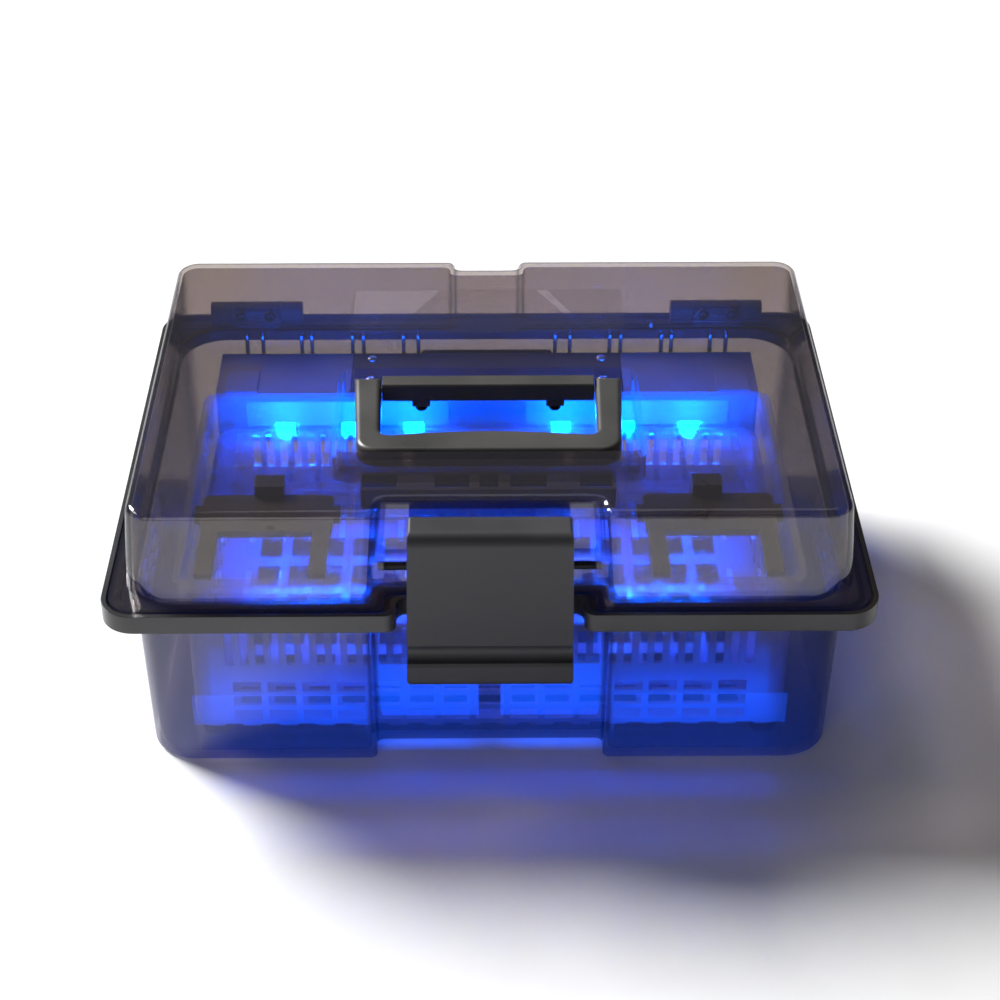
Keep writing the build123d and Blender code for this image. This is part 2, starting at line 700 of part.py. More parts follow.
def battery_contacts():
    """A thin contact plate at the inner end of each cell."""
    y, z = CELL_CENTRE
    return [
        block(mirrored((DOOR_X + 0.3, DOOR_X + 1.0), side), (y - 5, y + 5), (z - 6, z + 6))
        for _, side in SIDES
    ]


def led_board(side):
    """A strip of circuit board behind one lens."""
    x = mirrored((LENS_X[0] + 2, LENS_X[1] - 2), side)
    return block(x, BOARD_Y, (LED_Z - 5.5, LED_Z + 5.5))


def led_emitters():
    """Six lamps: each a square package with a round dome in front."""
    lamps = []
    for _, side in SIDES:
        for x in LED_X:
            face = BOARD_Y[0] - LED_PACKAGE[1]
            half = LED_PACKAGE[0] / 2
            package_x = (side * x - half, side * x + half)
            package = block(package_x, (face, BOARD_Y[0]), (LED_Z - half, LED_Z + half))
            lamps.append(package + Pos(side * x, face, LED_Z) * Sphere(LED_DOME_R))
    return lamps


def lamp_lens(side):
    """A clear window in the housing's front wall."""
    x = mirrored((LENS_X[0] + 0.1, LENS_X[1] - 0.1), side)
    y = HOUSE_Y[0]
    lens = block(x, (y, y + HOUSE_WALL), (LENS_Z[0] + 0.1, LENS_Z[1] - 0.1))
    flange_z = (LENS_Z[0] - 2, LENS_Z[1] + 2)
    return lens + block((x[0] - 2, x[1] + 2), (y + HOUSE_WALL, y + 3.0), flange_z)


def lamp_wires():
    """Two sleeved leads from the control board to the lamp strips."""
    leads = []
    for _, side in SIDES:
        points = [
            (side * 20.0, 102.6, 62.0),
            (side * 20.0, 94.0, 62.0),
            (side * 30.0, 86.0, 62.0),
            (side * 30.0, BOARD_Y[1] + 1.0, 66.0),
        ]
        leads.append(tube(points, [4.0, 4.0], 0.8))
    return leads


# ---------------------------------------------------------------- rear controls


def control_board():
    """The control circuit board, upright behind the rear panel."""
    return block((-26.0, 26.0), CONTROL_Y, (56.5, 76.5))


def control_components():
    """Chips and a coil on the control board's inner face."""
    y = CONTROL_Y[0]
    return [
        block((-8.0, 2.0), (y - 1.6, y), (64.0, 72.0)),
        block((-20.0, -14.0), (y - 1.2, y), (66.0, 72.0)),
        block((9.0, 15.0), (y - 3.2, y), (67.0, 73.0)),
        block((5.0, 7.5), (y - 1.0, y), (59.5, 62.0)),
        block((-10.0, -7.5), (y - 1.0, y), (58.5, 61.0)),
    ]


def button_switch():
    """The push switch on the control board that the power button presses."""
    y = CONTROL_Y[1]
    body = block((BUTTON_X - 3, BUTTON_X + 3), (y, y + 3.4), (PORT_Z - 3, PORT_Z + 3))
    return body + rod_y(BUTTON_X, (y + 3.3, y + 4.4), PORT_Z, 1.7)


def power_button():
    """The power button: a round cap with a collar behind the panel and a stem."""
    cap = rod_y(BUTTON_X, (114.0, 121.6), PORT_Z, BUTTON_R)
    cap = fillet(cap.edges().sort_by(Axis.Y)[-1], 0.8)
    collar = rod_y(BUTTON_X, (114.0, 115.2), PORT_Z, BUTTON_R + 1.2)
    return cap + collar + rod_y(BUTTON_X, (111.0, 114.5), PORT_Z, 1.6)


def rear_panel():
    """The black panel in the rear wall, with holes for the button, lamp and socket."""
    plug_z = (PANEL_Z[0] + 0.1, PANEL_Z[1] - 0.1)
    plug = block((-PANEL_X + 0.1, PANEL_X - 0.1), (115.4, PANEL_Y[1]), plug_z)
    flange_z = (PANEL_Z[0] - 3.0, PANEL_Z[1] + 3.0)
    flange = block((-PANEL_HALF_X, PANEL_HALF_X), PANEL_Y, flange_z)
    flange = fillet(flange.edges().filter_by(Axis.Y), 3.0)
    panel = plug + flange - rod_y(BUTTON_X, (110, 125), PORT_Z, BUTTON_R + 0.1)
    panel -= rod_y(0.0, (110, 125), PORT_Z, 1.5 + FIT)
    panel -= block((PORT_X - 4.6, PORT_X + 4.6), (110, 125), (PORT_Z - 1.7, PORT_Z + 1.7))
    for x in PANEL_SCREW_X:
        panel -= rod_y(x, (110, 125), PANEL_MID_Z, SCREW_R + FIT)
    return panel


def panel_screws():
    """Two screws that hold the rear panel to the tub's wall."""
    face = PANEL_Y[1]
    return [
        rod_y(x, (114.0, face), PANEL_MID_Z, SCREW_R)
        + rod_y(x, (face, face + 1.5), PANEL_MID_Z, SCREW_HEAD_R)
        for x in PANEL_SCREW_X
    ]


def indicator_lens():
    """A small light pipe beside the button."""
    return rod_y(0.0, (108.0, PANEL_Y[1] + 0.4), PORT_Z, 1.5)


def charge_socket():
    """The metal charging socket: an open sleeve with a tongue, on the control board."""
    sleeve_z = (PORT_Z - 1.6, PORT_Z + 1.6)
    sleeve = block((PORT_X - 4.5, PORT_X + 4.5), (CONTROL_Y[1], PANEL_Y[1]), sleeve_z)
    sleeve = fillet(sleeve.edges().filter_by(Axis.Y), 1.4)
    mouth = block((PORT_X - 4.1, PORT_X + 4.1), (112.0, 122.0), (PORT_Z - 1.25, PORT_Z + 1.25))
    tongue = block((PORT_X - 3.2, PORT_X + 3.2), (111.5, 118.6), (PORT_Z - 0.35, PORT_Z + 0.35))
    return sleeve - mouth + tongue


def lid_magnet():
    """A small magnet glued inside the lid's back, which tells the switch that the lid is shut."""
    return rod_z(86.0, 113.6, (LIP_BOTTOM + 3.0, LIP_BOTTOM + 6.0), 2.0)


def reed_switch():
    """The lid switch, a sealed reed capsule under the housing's middle cover."""
    return rod_x((40.0, 54.0), 105.5, 76.5, 1.6)


# ---------------------------------------------------------------- all nodes


def nodes():
    """Every node by name."""
    parts = {
        "base_shell": base_shell(),
        "base_rim": base_rim(),
        "rim_gasket": gasket_ring(GASKET),
        "rubber_feet": rubber_feet(),
        "hinge_base_screws": hinge_base_screws(),
        "hinge_lid_screws": hinge_lid_screws(),
        "lid_shell": lid_shell(),
        "lid_label": lid_label(),
        "lid_magnet": lid_magnet(),
        "handle": handle(),
        "handle_bracket": handle_bracket(),
        "handle_screws": handle_screws(),
        "latch": latch(),
        "latch_pin": latch_pin(),
        "tool_tray": tool_tray(),
        "comb_rack": comb_rack(),
        "basket": basket(),
        "lamp_housing": lamp_housing(),
        "housing_cover": housing_cover(),
        "housing_screws": housing_screws(),
        "battery_contacts": battery_contacts(),
        "led_emitters": led_emitters(),
        "lamp_wires": lamp_wires(),
        "control_board": control_board(),
        "control_components": control_components(),
        "button_switch": button_switch(),
        "power_button": power_button(),
        "rear_panel": rear_panel(),
        "panel_screws": panel_screws(),
        "indicator_lens": indicator_lens(),
        "charge_socket": charge_socket(),
        "reed_switch": reed_switch(),
    }
    pairs = {
        "hinge_base": hinge_base,
        "hinge_lid": hinge_lid,
        "hinge_pin": hinge_pin,
        "handle_pin": handle_pin,
        "tool_rest": tool_rest,
        "battery_door": battery_door,
        "battery": battery,
        "led_board": led_board,
        "lamp_lens": lamp_lens,
    }
    for name, make in pairs.items():
        for word, side in SIDES:
            parts[f"{name}_{word}"] = make(side)
    return parts


def main():
    os.makedirs("parts", exist_ok=True)
    for name, shape in nodes().items():
        solids = shape if isinstance(shape, list) else [shape]
        bodies = [solid for piece in solids for solid in piece.solids()]
        whole = bodies[0] if len(bodies) == 1 else Compound(children=bodies)
        export_step(whole, f"parts/{name}.step")


main()
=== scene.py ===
import json
import math

import bmesh
import bpy
import numpy as np
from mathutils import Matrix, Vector

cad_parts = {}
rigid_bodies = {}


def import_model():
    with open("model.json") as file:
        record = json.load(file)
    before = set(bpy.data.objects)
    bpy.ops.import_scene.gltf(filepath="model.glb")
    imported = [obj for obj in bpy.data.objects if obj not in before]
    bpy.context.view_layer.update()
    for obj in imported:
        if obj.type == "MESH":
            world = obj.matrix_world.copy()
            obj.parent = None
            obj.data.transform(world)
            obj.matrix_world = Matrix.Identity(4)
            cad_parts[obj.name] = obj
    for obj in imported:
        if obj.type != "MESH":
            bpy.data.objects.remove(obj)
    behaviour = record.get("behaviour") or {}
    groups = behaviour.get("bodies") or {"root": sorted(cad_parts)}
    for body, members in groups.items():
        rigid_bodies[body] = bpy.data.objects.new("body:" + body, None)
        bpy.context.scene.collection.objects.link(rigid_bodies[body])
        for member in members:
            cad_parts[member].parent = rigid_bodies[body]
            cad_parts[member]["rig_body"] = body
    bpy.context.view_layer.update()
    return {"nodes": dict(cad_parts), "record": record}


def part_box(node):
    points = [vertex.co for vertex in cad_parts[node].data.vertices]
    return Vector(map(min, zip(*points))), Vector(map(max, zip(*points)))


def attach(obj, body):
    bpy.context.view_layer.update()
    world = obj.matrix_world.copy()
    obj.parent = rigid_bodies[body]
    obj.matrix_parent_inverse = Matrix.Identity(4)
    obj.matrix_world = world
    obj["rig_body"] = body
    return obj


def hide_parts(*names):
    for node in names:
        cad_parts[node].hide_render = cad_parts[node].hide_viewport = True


# Looks for a portable ultraviolet steriliser case: smoked clear shells over blue lamps, a black
# rim, latch and handle, a clear tool tray and a slotted basket.
# Metres, in the CAD model's frame: X is the width, -Y is the front, +Z is up.

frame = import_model()
NODES = frame["nodes"]
MM = 0.001

# ---------------------------------------------------------------- colours and nodes


def tone(code):
    """A colour as linear numbers, from its sRGB hex value."""
    share = np.array([int(code[k : k + 2], 16) for k in (0, 2, 4)]) / 255.0
    linear = np.where(share <= 0.04045, share / 12.92, ((share + 0.055) / 1.055) ** 2.4)
    return (*(float(v) for v in linear), 1.0)


def add(tree, kind, links=None, inputs=None, **settings):
    """Adds one node, with its settings, its inputs' values and the sockets linked into them."""
    made = tree.nodes.new("ShaderNode" + kind)
    for key, value in settings.items():
        setattr(made, key, value)
    for key, value in (inputs or {}).items():
        made.inputs[key].default_value = value
    for key, source in (links or {}).items():
        tree.links.new(source, made.inputs[key])
    return made


def material(name):
    """An empty material and its node tree."""
    made = bpy.data.materials.new(name)
    made.use_nodes = True
    made.node_tree.nodes.clear()
    return made, made.node_tree


def grain(tree, size_mm, detail=2.0, stretch=(1.0, 1.0, 1.0)):
    """Noise whose cells are about size_mm across, 0 to 1."""
    place = add(tree, "TexCoord")
    stretched = add(tree, "Mapping", {"Vector": place.outputs["Object"]}, {"Scale": stretch})
    inputs = {"Scale": 1.0 / (size_mm * MM), "Detail": detail}
    return add(tree, "TexNoise", {"Vector": stretched.outputs[0]}, inputs).outputs["Fac"]


NOISE_LOW, NOISE_HIGH = 0.3, 0.7  # the part of 0 to 1 where a noise mostly lies
PATTERN = {"From Min": NOISE_LOW, "From Max": NOISE_HIGH}


def two_ends(ramp, places, colours):
    """Sets the two ends of a colour ramp, and gives its colour."""
    for stop, place, colour in zip(ramp.color_ramp.elements, places, colours):
        stop.position = place
        stop.color = colour
    return ramp.outputs["Color"]


def relief(tree, source, depth_mm, edge_mm=0.0):
    """A normal from a height pattern, over edges rounded by edge_mm."""
    links = {"Height": source}
    if edge_mm:
        links["Normal"] = add(tree, "Bevel", inputs={"Radius": edge_mm * MM}, samples=4).outputs[0]
    inputs = {"Distance": depth_mm * MM, "Strength": 1.0}
    return add(tree, "Bump", links, inputs).outputs["Normal"]


BROAD_MM = 40.0  # the size of the slow changes of colour and gloss on every opaque finish


def opaque(name, colours, rough, cell_mm, depth_mm, edge_mm=0.3, **fixed):
    """A moulded, coated or bare solid finish: two close colours and two roughnesses, over grain."""
    made, tree = material(name)
    fine = grain(tree, cell_mm)
    broad = grain(tree, BROAD_MM, 3.0)
    ramp = add(tree, "ValToRGB", {"Fac": broad})
    dullness = {**PATTERN, "To Min": rough[0], "To Max": rough[1]}
    links = {
        "Base Color": two_ends(ramp, (NOISE_LOW, NOISE_HIGH), [tone(code) for code in colours]),
        "Roughness": add(tree, "MapRange", {"Value": broad}, dullness).outputs["Result"],
        "Normal": relief(tree, fine, depth_mm, edge_mm),
    }
    constants = {key.replace("_", " "): value for key, value in fixed.items()}
    shader = add(tree, "BsdfPrincipled", links, constants)
    add(tree, "OutputMaterial", {"Surface": shader.outputs[0]})
    return made


LAMP_BLUE = tone("0054ff")
PAINTED_GLOW_TOP = 0.115  # the height in metres above which the smoked walls get no painted blue glow
HEAD_ON_GLOSS, SLANT_GLOSS = 0.05, 0.65  # the shares of light mirrored head on and along the wall
GLOSS_POWER = 5.0  # how late the gloss rises as the wall turns away
WAVES_MM, MARKS_MM = 28.0, 9.0  # the size of the walls' slow waves and of their flow marks
SLANT_TINT = (0.35, 0.95)  # from square on, 0, to edge on, 1: the turn over which the tint deepens


def clear_plastic(name, tint, deep, body, body_share, gloss, wave_mm, painted_glow=0.0):
    """A clear moulded wall: a tinted see-through layer with a little body colour, and gloss on it.

    Light that crosses the wall at a slant goes further in it, so the tint turns to the deep one.
    Its body also gets a painted blue glow, standing in for the lamps' light pooled low in the case: none
    at the top height, rising to the given strength at z = 0.
    """
    made, tree = material(name)
    waves = grain(tree, WAVES_MM, 1.0)
    marks = grain(tree, MARKS_MM, 4.0, (1.0, 1.0, 0.4))
    normal = relief(tree, waves, wave_mm)
    slant = add(tree, "LayerWeight", {"Normal": normal}, {"Blend": 0.5}).outputs["Facing"]
    ramp = add(tree, "ValToRGB", {"Fac": slant})
    tinted = two_ends(ramp, SLANT_TINT, (tone(tint), tone(deep)))
    through = add(tree, "BsdfTransparent", {"Color": tinted})
    constants = {"Base Color": tone(body), "Roughness": 0.35, "Emission Color": LAMP_BLUE}
    solid = add(tree, "BsdfPrincipled", {"Normal": normal}, constants)
    if painted_glow:
        # Painted blue glow: emission strongest at the floor, standing in for lamp light pooled low in the
        # case.
        place = add(tree, "TexCoord").outputs["Object"]
        level = add(tree, "SeparateXYZ", {"Vector": place}).outputs["Z"]
        rise = {"From Min": PAINTED_GLOW_TOP, "From Max": 0.0, "To Max": painted_glow}
        painted_glow_power = add(tree, "MapRange", {"Value": level}, rise).outputs["Result"]
        tree.links.new(painted_glow_power, solid.inputs["Emission Strength"])
        made.cycles.emission_sampling = "NONE"
    layers = {1: through.outputs[0], 2: solid.outputs[0]}
    inner = add(tree, "MixShader", layers, {"Fac": body_share})
    dullness = {**PATTERN, "To Min": gloss[0], "To Max": gloss[1]}
    rough = add(tree, "MapRange", {"Value": marks}, dullness).outputs["Result"]
    polish = {"Roughness": rough, "Normal": normal}
    shine = add(tree, "BsdfGlossy", polish, {"Color": tone("ffffff")})
    steep = add(tree, "Math", {0: slant}, {1: GLOSS_POWER}, operation="POWER").outputs[0]
    shares = {"To Min": HEAD_ON_GLOSS, "To Max": SLANT_GLOSS}
    mirror = add(tree, "MapRange", {"Value": steep}, shares).outputs["Result"]
    layers = {"Fac": mirror, 1: inner.outputs[0], 2: shine.outputs[0]}
    surface = add(tree, "MixShader", layers)
    add(tree, "OutputMaterial", {"Surface": surface.outputs[0]})
    return made


# Textures finer than half a millimetre are drawn at 0.4 to 0.6 mm, as coarse as they need to be
# to show at all.

# Smoked polycarbonate, injection moulded and polished: it darkens what is behind it a little brown,
# and mirrors the room at a slant. Its lower part gets a faint painted blue glow for the lamps' light.
smoked = clear_plastic(
    "smoked_polycarbonate_lid",
    tint="e9e2dc",
    deep="7c7a84",
    body="76747a",
    body_share=0.06,
    gloss=(0.02, 0.06),
    wave_mm=0.015,
    painted_glow=0.7,
)
# The same plastic in the tub: it looks deeper and bluer, with a deeper tint and a stronger painted blue
# glow that stands in for the lamps' light around it.
tub_smoke = clear_plastic(
    "smoked_polycarbonate_tub",
    tint="d2cecd",
    deep="74727c",
    body="5c5c66",
    body_share=0.05,
    gloss=(0.02, 0.06),
    wave_mm=0.015,
    painted_glow=1.1,
)
# The same plastic seen through the edge of a thin rib, where the light has further to go: dark.
edge_smoke = clear_plastic(
    "smoked_polycarbonate_edge",
    tint="6e6862",
    deep="4a4644",
    body="3a3634",
    body_share=0.18,
    gloss=(0.05, 0.12),
    wave_mm=0.01,
)
# Clear styrene, moulded: almost colourless and a little milky, with faint flow marks.
crystal = clear_plastic(
    "clear_styrene_moulded",
    tint="eef1f6",
    deep="c8d2f0",
    body="d4daf0",
    body_share=0.14,
    gloss=(0.04, 0.10),
    wave_mm=0.02,
)
# Natural polypropylene, moulded: cloudier than the tray, so that its bars catch the blue light.
cloudy = clear_plastic(
    "natural_polypropylene_moulded",
    tint="dfe3ec",
    deep="bcc6e8",
    body="c8d0ec",
    body_share=0.40,
    gloss=(0.12, 0.22),
    wave_mm=0.02,
)
# Clear film, cut and stuck down: a faint pale panel that mirrors like the lid under it.
film = clear_plastic(
    "clear_film_label",
    tint="fcfbfb",
    deep="f2efee",
    body="f2f0ee",
    body_share=0.01,
    gloss=(0.05, 0.10),
    wave_mm=0.01,
)

# Gloss ABS, moulded in a polished tool: near black, with sharp highlights.
rim_abs = opaque("gloss_abs_black", ("353537", "3f3f41"), (0.16, 0.26), 1.2, 0.004, 0.5)
# Polypropylene from a spark-eroded tool: charcoal, with a fine even texture and dull highlights.
latch_pp = opaque(
    "textured_polypropylene_charcoal", ("2c2c2f", "333337"), (0.38, 0.48), 0.5, 0.03, 0.5
)
# Nylon, satin moulded: the handle's warm dark grey, with soft highlights that vary a little.
nylon = opaque("satin_nylon_black", ("3d3d3c", "494846"), (0.26, 0.40), 0.6, 0.02, 0.6)
# ABS, fine-textured: dark bluish grey housings, dull.
housing_abs = opaque("textured_abs_dark_grey", ("2e2f38", "373843"), (0.42, 0.55), 0.6, 0.02)
# ABS, fine-textured: the lighter grey of the battery doors, dull.
door_abs = opaque("textured_abs_mid_grey", ("63646f", "70717c"), (0.40, 0.52), 0.6, 0.02)
# EPDM rubber, moulded: matt black.
rubber = opaque("moulded_epdm_rubber", ("101011", "18181a"), (0.70, 0.85), 0.8, 0.03)
# Stainless steel, drawn: bright pins and screws, with a fine grain.
steel = opaque(
    "drawn_stainless_steel", ("b4b4b8", "c6c6ca"), (0.20, 0.32), 0.4, 0.01, 0.15, Metallic=1.0
)
# Steel under black oxide: the latch's pin and the lid's screws, dark with a dull sheen.
black_steel = opaque(
    "black_oxide_steel", ("151516", "202022"), (0.30, 0.42), 0.5, 0.01, 0.15, Metallic=0.6
)
# Brass strip, rolled: warm, bright contacts.
brass = opaque("rolled_brass", ("b8924a", "c9a660"), (0.22, 0.34), 0.5, 0.01, 0.1, Metallic=1.0)
# Glass-epoxy board under solder mask: deep green, slightly glossy.
board = opaque("solder_masked_glass_epoxy", ("0c3a24", "12462e"), (0.25, 0.38), 1.0, 0.02, 0.1)
# Moulded epoxy: the dull black of chip and switch bodies.
epoxy = opaque("moulded_epoxy", ("141415", "1d1d1f"), (0.45, 0.60), 0.4, 0.01, 0.1)
# PVC shrink sleeve: the cells' glossy blue wrap.
sleeve = opaque("pvc_shrink_sleeve", ("1a4c8c", "22579a"), (0.18, 0.30), 3.0, 0.02, 0.2)
# PVC wire insulation, extruded: red, with a soft gloss.
wire = opaque("pvc_wire_insulation", ("8c1a16", "9c221c"), (0.30, 0.42), 1.0, 0.01, 0.0)


def lamp_glow(name, core, strength):
    """A lit lamp's dome: blue light, a fifth stronger or weaker from grain to grain."""
    made, tree = material(name)
    grains = {**PATTERN, "To Min": 0.8 * strength, "To Max": 1.2 * strength}
    power = add(tree, "MapRange", {"Value": grain(tree, 0.5)}, grains)
    constants = {"Base Color": tone("c8d4ff"), "Roughness": 0.2, "Emission Color": tone(core)}
    links = {"Emission Strength": power.outputs["Result"]}
    shader = add(tree, "BsdfPrincipled", links, constants)
    add(tree, "OutputMaterial", {"Surface": shader.outputs[0]})
    return made


# Silicone dome over a blue-violet emitter: lit, the brightest thing in the case.
lamp = lamp_glow("silicone_lamp_dome_lit", "3f8cff", 14.0)

LAMP_MM = (38.0, 71.0, 104.0)  # the lamps' distances from the middle of the case


def lit_window(name, width_mm, strength):
    """A frosted window lit from behind: blue, turning cyan near each lamp.

    The light is a faint grain plus exp(-((|x| - lamp) / width)^2) for every lamp.
    """
    made, tree = material(name)
    place = add(tree, "TexCoord").outputs["Object"]
    x = add(tree, "SeparateXYZ", {"Vector": place}).outputs["X"]
    side = add(tree, "Math", {0: x}, operation="ABSOLUTE").outputs[0]
    total = add(tree, "Math", {0: grain(tree, 3.0)}, {1: 0.10}, operation="MULTIPLY").outputs[0]
    for lamp_mm in LAMP_MM:
        apart = add(tree, "Math", {0: side}, {1: lamp_mm * MM}, operation="SUBTRACT").outputs[0]
        reach = {1: 1 / (width_mm * MM)}
        scaled = add(tree, "Math", {0: apart}, reach, operation="MULTIPLY").outputs[0]
        square = add(tree, "Math", {0: scaled, 1: scaled}, operation="MULTIPLY").outputs[0]
        fall = add(tree, "Math", {0: square}, {1: -1.0}, operation="MULTIPLY").outputs[0]
        near = add(tree, "Math", {0: fall}, operation="EXPONENT").outputs[0]
        total = add(tree, "Math", {0: total, 1: near}, operation="ADD").outputs[0]
    ramp = add(tree, "ValToRGB", {"Fac": total})
    shade = two_ends(ramp, (0.0, 1.0), (tone("0038f0"), tone("18c8ff")))
    powers = {"To Min": 0.25 * strength, "To Max": strength}
    power = add(tree, "MapRange", {"Value": total}, powers).outputs["Result"]
    links = {"Emission Color": shade, "Emission Strength": power}
    constants = {"Base Color": tone("9aa4c8"), "Roughness": 0.45}
    shader = add(tree, "BsdfPrincipled", links, constants)
    add(tree, "OutputMaterial", {"Surface": shader.outputs[0]})
    return made


# Frosted styrene over the lamp strips: it spreads each lamp into a soft pool of light.
window = lit_window("frosted_styrene_window", 15.0, 3.0)

FINISH = {
    "smoked_clear": smoked,
    "clear": crystal,
    "black_rim": rim_abs,
    "black_moulding": nylon,
    "black_latch": latch_pp,
    "housing_grey": housing_abs,
    "door_grey": door_abs,
    "rubber": rubber,
    "steel": steel,
    "black_steel": black_steel,
    "brass": brass,
    "board": board,
    "component": epoxy,
    "lamp": lamp,
    "cell_wrap": sleeve,
    "wire": wire,
    "label_clear": film,
}
# Nodes that look different from the rest of their slot.
SPECIAL = {
    "lamp_lens_left": window,
    "lamp_lens_right": window,
    "basket": cloudy,
    "base_shell": tub_smoke,
}


def dress(piece, finish):
    """Gives a piece one material."""
    piece.data.materials.clear()
    piece.data.materials.append(finish)


for part in frame["record"]["subparts"]:
    finish = SPECIAL.get(part["node"], FINISH[part["material_slot"]])
    dress(NODES[part["node"]], finish)

# ---------------------------------------------------------------- new pieces

X_AXIS, Y_AXIS, Z_AXIS = (1, 0, 0), (0, 1, 0), (0, 0, 1)
SIDES = ((-1, "left"), (1, "right"))


def surface_mesh(name, points, around):
    """A grid of points, rows by columns, as a mesh; around joins the last column to the first."""
    rows, columns = points.shape[:2]
    corner = np.arange(rows * columns).reshape(rows, columns)
    if around:
        corner = np.concatenate([corner, corner[:, :1]], axis=1)
    around_each = [corner[:-1, :-1], corner[:-1, 1:], corner[1:, 1:], corner[1:, :-1]]
    quads = np.stack(around_each, -1).reshape(-1, 4)
    mesh = bpy.data.meshes.new(name)
    mesh.from_pydata(points.reshape(-1, 3).tolist(), [], quads.tolist())
    return mesh


def joined(name, meshes):
    """One mesh of several, with poles closed, normals outwards and smooth shading."""
    whole = bmesh.new()
    for mesh in meshes:
        whole.from_mesh(mesh)
        bpy.data.meshes.remove(mesh)
    bmesh.ops.remove_doubles(whole, verts=whole.verts, dist=1e-7)
    bmesh.ops.recalc_face_normals(whole, faces=whole.faces)
    made = bpy.data.meshes.new(name)
    whole.to_mesh(made)
    whole.free()
    made.shade_smooth()
    return made


def new_piece(name, meshes, finish, body):
    """A piece made of meshes, which rides on a body."""
    piece = bpy.data.objects.new(name, joined(name, meshes))
    bpy.context.scene.collection.objects.link(piece)
    dress(piece, finish)
    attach(piece, body)
    return piece


def stand_in(name, meshes, finish, node):
    """A piece that stands for one CAD node and rides on its body."""
    piece = new_piece(name, meshes, finish, NODES[node]["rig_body"])
    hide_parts(node)


def placed(points, place, axis):
    """Points turned so that their +Z runs along axis, then moved to place."""
    turn = np.array(Vector(Z_AXIS).rotation_difference(Vector(axis)).to_matrix())
    return points @ turn.T + np.array(place)


def circle(steps):
    """Angles evenly round a circle, from 0."""
    return np.linspace(0, 2 * math.pi, steps, endpoint=False)


def squared(steps, power):
    """The outline |x|^power + |y|^power = 1, as points: a square with rounded corners."""
    a = circle(steps)
    reach = (np.abs(np.cos(a)) ** power + np.abs(np.sin(a)) ** power) ** (-1 / power)
    return np.stack([reach * np.cos(a), reach * np.sin(a)], -1)


def turned(name, profile, place, axis, steps=48):
    """A turned form: x = r cos a, y = r sin a, z = h, with (r, h) along the profile in mm."""
    r, h = np.array(profile, float).T * MM
    a = circle(steps)
    points = np.stack(
        [np.outer(r, np.cos(a)), np.outer(r, np.sin(a)), np.outer(h, np.ones(steps))], -1
    )
    return surface_mesh(name, placed(points, place, axis), True)


def stacked(name, plan, size, level, place, axis=Z_AXIS):
    """A form stacked from one plan: at each level, in metres, the plan times that level's size."""
    flat = size[:, None, :] * plan[None]
    height = np.repeat(level[:, None, None], len(plan), axis=1)
    points = np.concatenate([flat, height], axis=-1)
    return surface_mesh(name, placed(points, place, axis), True)


HEAD_RADIUS, HEAD_HEIGHT = 2.8, 1.6  # the screws' pan heads, mm
SHANK_RADIUS = 1.38
THREAD_PITCH = 0.5
RECESS_REACH = 0.62  # how far the cross recess reaches, of the head's radius


def cross_head(name, place, axis):
    """A pan head, mm: z = height (1 - (r/R)^3)^(1/2), less a tapered cross recess.

    The recess is deepest on the axis and falls to nothing at RECESS_REACH, where either |x| or
    |y| is under a tenth of R.
    """
    share, a = np.meshgrid(np.linspace(0, 1, 26), circle(72), indexing="ij")
    x, y = HEAD_RADIUS * share * np.cos(a), HEAD_RADIUS * share * np.sin(a)
    dome = HEAD_HEIGHT * np.sqrt(np.clip(1 - share**3, 0, 1))
    narrow = np.minimum(np.abs(x), np.abs(y)) / (0.1 * HEAD_RADIUS)
    recess = np.clip(1.8 - narrow, 0, 1) * np.clip(1 - share / RECESS_REACH, 0, 1) ** 0.5
    points = np.stack([x, y, dome - 0.8 * HEAD_HEIGHT * recess], -1)[::-1] * MM
    under = np.stack([x[-1], y[-1], np.zeros_like(a[-1])], -1)[None] * MM
    pole = np.zeros_like(under)
    rings = np.concatenate([pole, under, points], axis=0)
    return surface_mesh(name, placed(rings, place, axis), True)


def shank(name, length, place, axis):
    """A screw's shank, mm: a turned form with a thread and a tapered tip."""
    h = np.linspace(0, length, int(4 * length / THREAD_PITCH) + 1)
    taper = np.clip((length - h) / 1.5, 0.35, 1)
    thread = 1 - 0.12 * (0.5 - 0.5 * np.cos(2 * math.pi * h / THREAD_PITCH))
    profile = [(0.0, 0.0), *zip(SHANK_RADIUS * taper * thread, h), (0.0, length)]
    return turned(name, profile, place, axis, 20)


def screws(name, node, spots, axis, length, finish=steel):
    """Screws at spots, the undersides of their heads, in mm; axis points out of the head."""
    down = tuple(-v for v in axis)
    meshes = []
    for spot in spots:
        place = tuple(v * MM for v in spot)
        meshes.append(cross_head(name, place, axis))
        meshes.append(shank(name, length, place, down))
    stand_in(name, meshes, finish, node)


# The heads sit 0.02 mm off the faces that they hold down, so that no two faces coincide.
COVER_SCREWS = [(x, y, 81.02) for x in (-60.0, 60.0) for y in (85.0, 105.5)]
screws("cover_screws", "housing_screws", COVER_SCREWS, Z_AXIS, 9.4)
PANEL_SCREWS = [(x, 120.12, 66.0) for x in (-31, 31)]
screws("rear_panel_screws", "panel_screws", PANEL_SCREWS, Y_AXIS, 6.0)
HINGE_X = 121.0  # the middle of each hinge
RIM_SCREWS = [(s * (HINGE_X + step), 124.6, 85.48) for s in (-1, 1) for step in (-18.5, 18.5)]
screws("rim_hinge_screws", "hinge_base_screws", RIM_SCREWS, (0, 0, -1), 9.8)
LEAF_SCREWS = [(s * HINGE_X + step, 115.28, 101.4) for s in (-1, 1) for step in (-7.5, 7.5)]
screws(
    "leaf_hinge_screws", "hinge_lid_screws", LEAF_SCREWS, (0, -1, 0), 7.8, black_steel
)
BRACKET_SCREWS = [(x, -3.5, 121.08) for x in (-31.5, 31.5)]
screws(
    "bracket_screws", "handle_screws", BRACKET_SCREWS, (0, 0, -1), 6.8, black_steel
)

